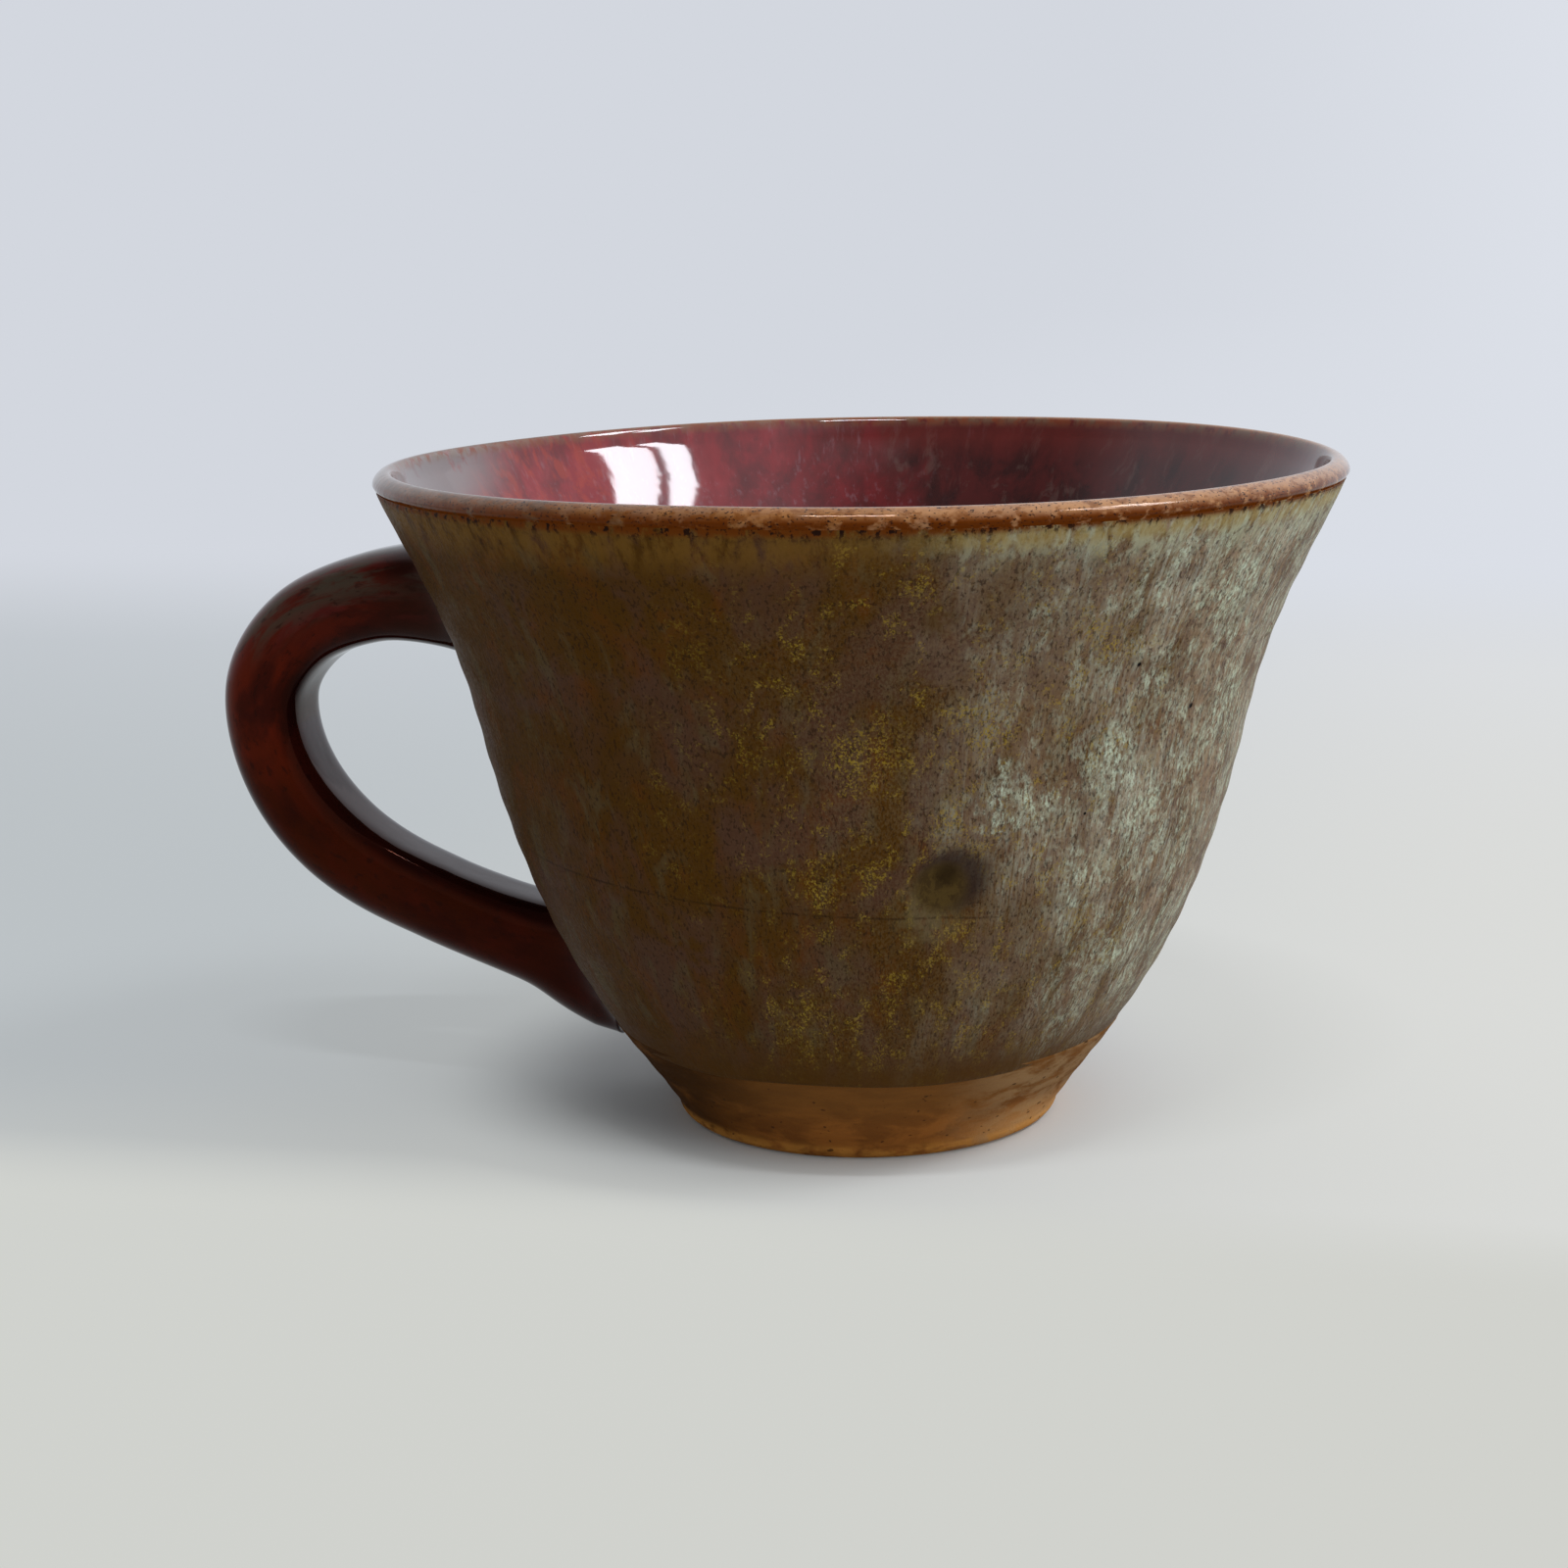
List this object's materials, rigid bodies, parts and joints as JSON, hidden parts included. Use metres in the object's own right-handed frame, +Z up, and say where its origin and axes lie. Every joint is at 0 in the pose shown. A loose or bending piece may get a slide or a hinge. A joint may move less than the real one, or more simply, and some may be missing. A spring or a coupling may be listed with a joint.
{
  "type": "coffee cup",
  "caption": "Hand-thrown stoneware coffee cup: flared round bowl on a narrow flat foot, with a pulled ear handle and three glaze coats.",
  "frame": {"origin": "centre of the flat foot that the cup stands on", "axes": "+Z up along the cup's axis, handle pointing along -X, handle in the XZ plane"},
  "size_m": [0.1339, 0.11, 0.0769],
  "materials": {
    "stoneware_clay": "matte fired stoneware with a thin ochre wash",
    "luting_slip": "matte fired clay paste",
    "oxblood_liner_glaze": "gloss red glaze with purple and rust streaks",
    "rutile_wall_glaze": "satin brown rutile glaze with grey-green streaks and ochre crystals",
    "dark_red_handle_glaze": "gloss dark red-brown glaze"
  },
  "bodies": {
    "root": {"thrown_bowl": "stoneware_clay", "pulled_handle": "stoneware_clay", "upper_slip_joint": "luting_slip", "lower_slip_joint": "luting_slip", "liner_glaze": "oxblood_liner_glaze", "wall_glaze": "rutile_wall_glaze", "handle_glaze": "dark_red_handle_glaze"}
  },
  "joints": []
}
